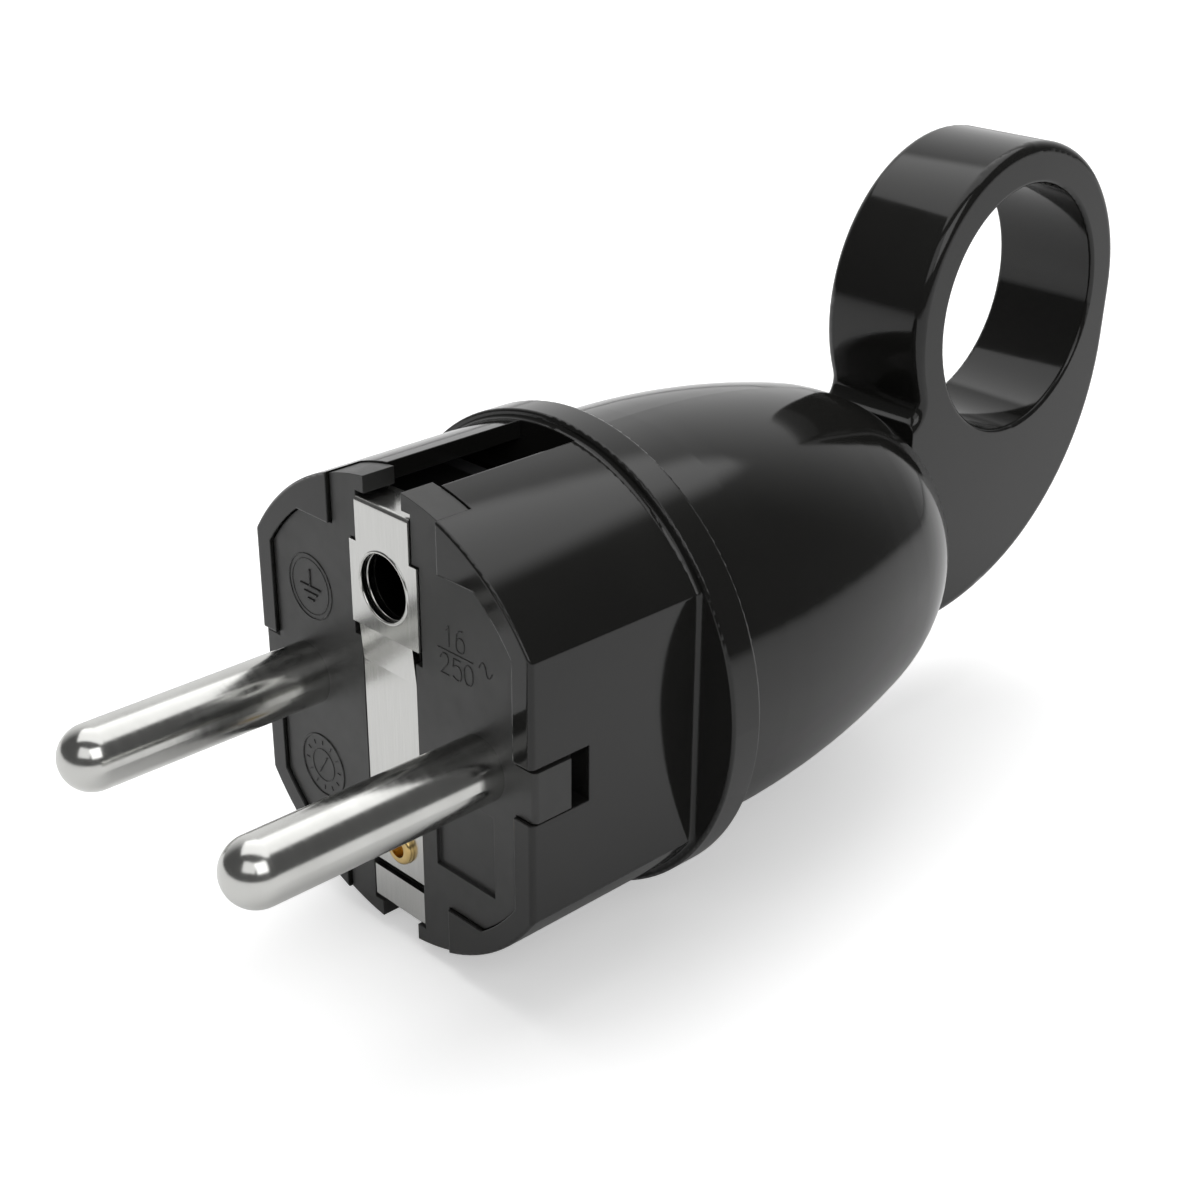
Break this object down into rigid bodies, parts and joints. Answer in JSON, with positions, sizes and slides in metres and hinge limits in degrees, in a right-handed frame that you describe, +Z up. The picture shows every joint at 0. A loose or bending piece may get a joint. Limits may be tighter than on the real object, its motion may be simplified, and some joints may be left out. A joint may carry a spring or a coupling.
{
  "type": "type F plug",
  "caption": "Black earthed mains plug with two round pins, side earth contacts, an earth socket, a bullet-shaped shell and a ring handle to pull it out.",
  "frame": {"origin": "midway between the two pins, on the flat front face that meets the socket outlet", "axes": "the pins point to -Y and the body lies to +Y; +X runs from the left pin to the right pin as seen from the front with the ring handle up; +Z is up, towards the ring handle"},
  "size_m": [0.0368, 0.0995, 0.0495],
  "materials": {
    "gloss_black": "glossy",
    "satin_black": "satin",
    "nickel": "satin nickel plate",
    "strip_nickel": "brushed nickel plate",
    "brass": "plain",
    "blackened_brass": "blackened inside",
    "screw_steel": "zinc plate",
    "grey_plastic": "matte",
    "black_rubber": "matte"
  },
  "bodies": {
    "root": {"front_sleeve": "gloss_black", "rear_shell": "gloss_black", "contact_carrier": "satin_black", "pin_left": "nickel", "pin_right": "nickel", "earth_strip": "strip_nickel", "lower_earth_contact": "strip_nickel", "earth_socket": "blackened_brass", "earth_rivet": "brass", "terminal_left": "brass", "terminal_right": "brass", "earth_terminal": "brass", "terminal_screw_left": "screw_steel", "terminal_screw_right": "screw_steel", "earth_terminal_screw": "screw_steel", "clamp_screw_left": "screw_steel", "clamp_screw_right": "screw_steel", "contact_cover": "grey_plastic", "cord_clamp": "grey_plastic", "cable_grommet": "black_rubber"}
  },
  "joints": []
}
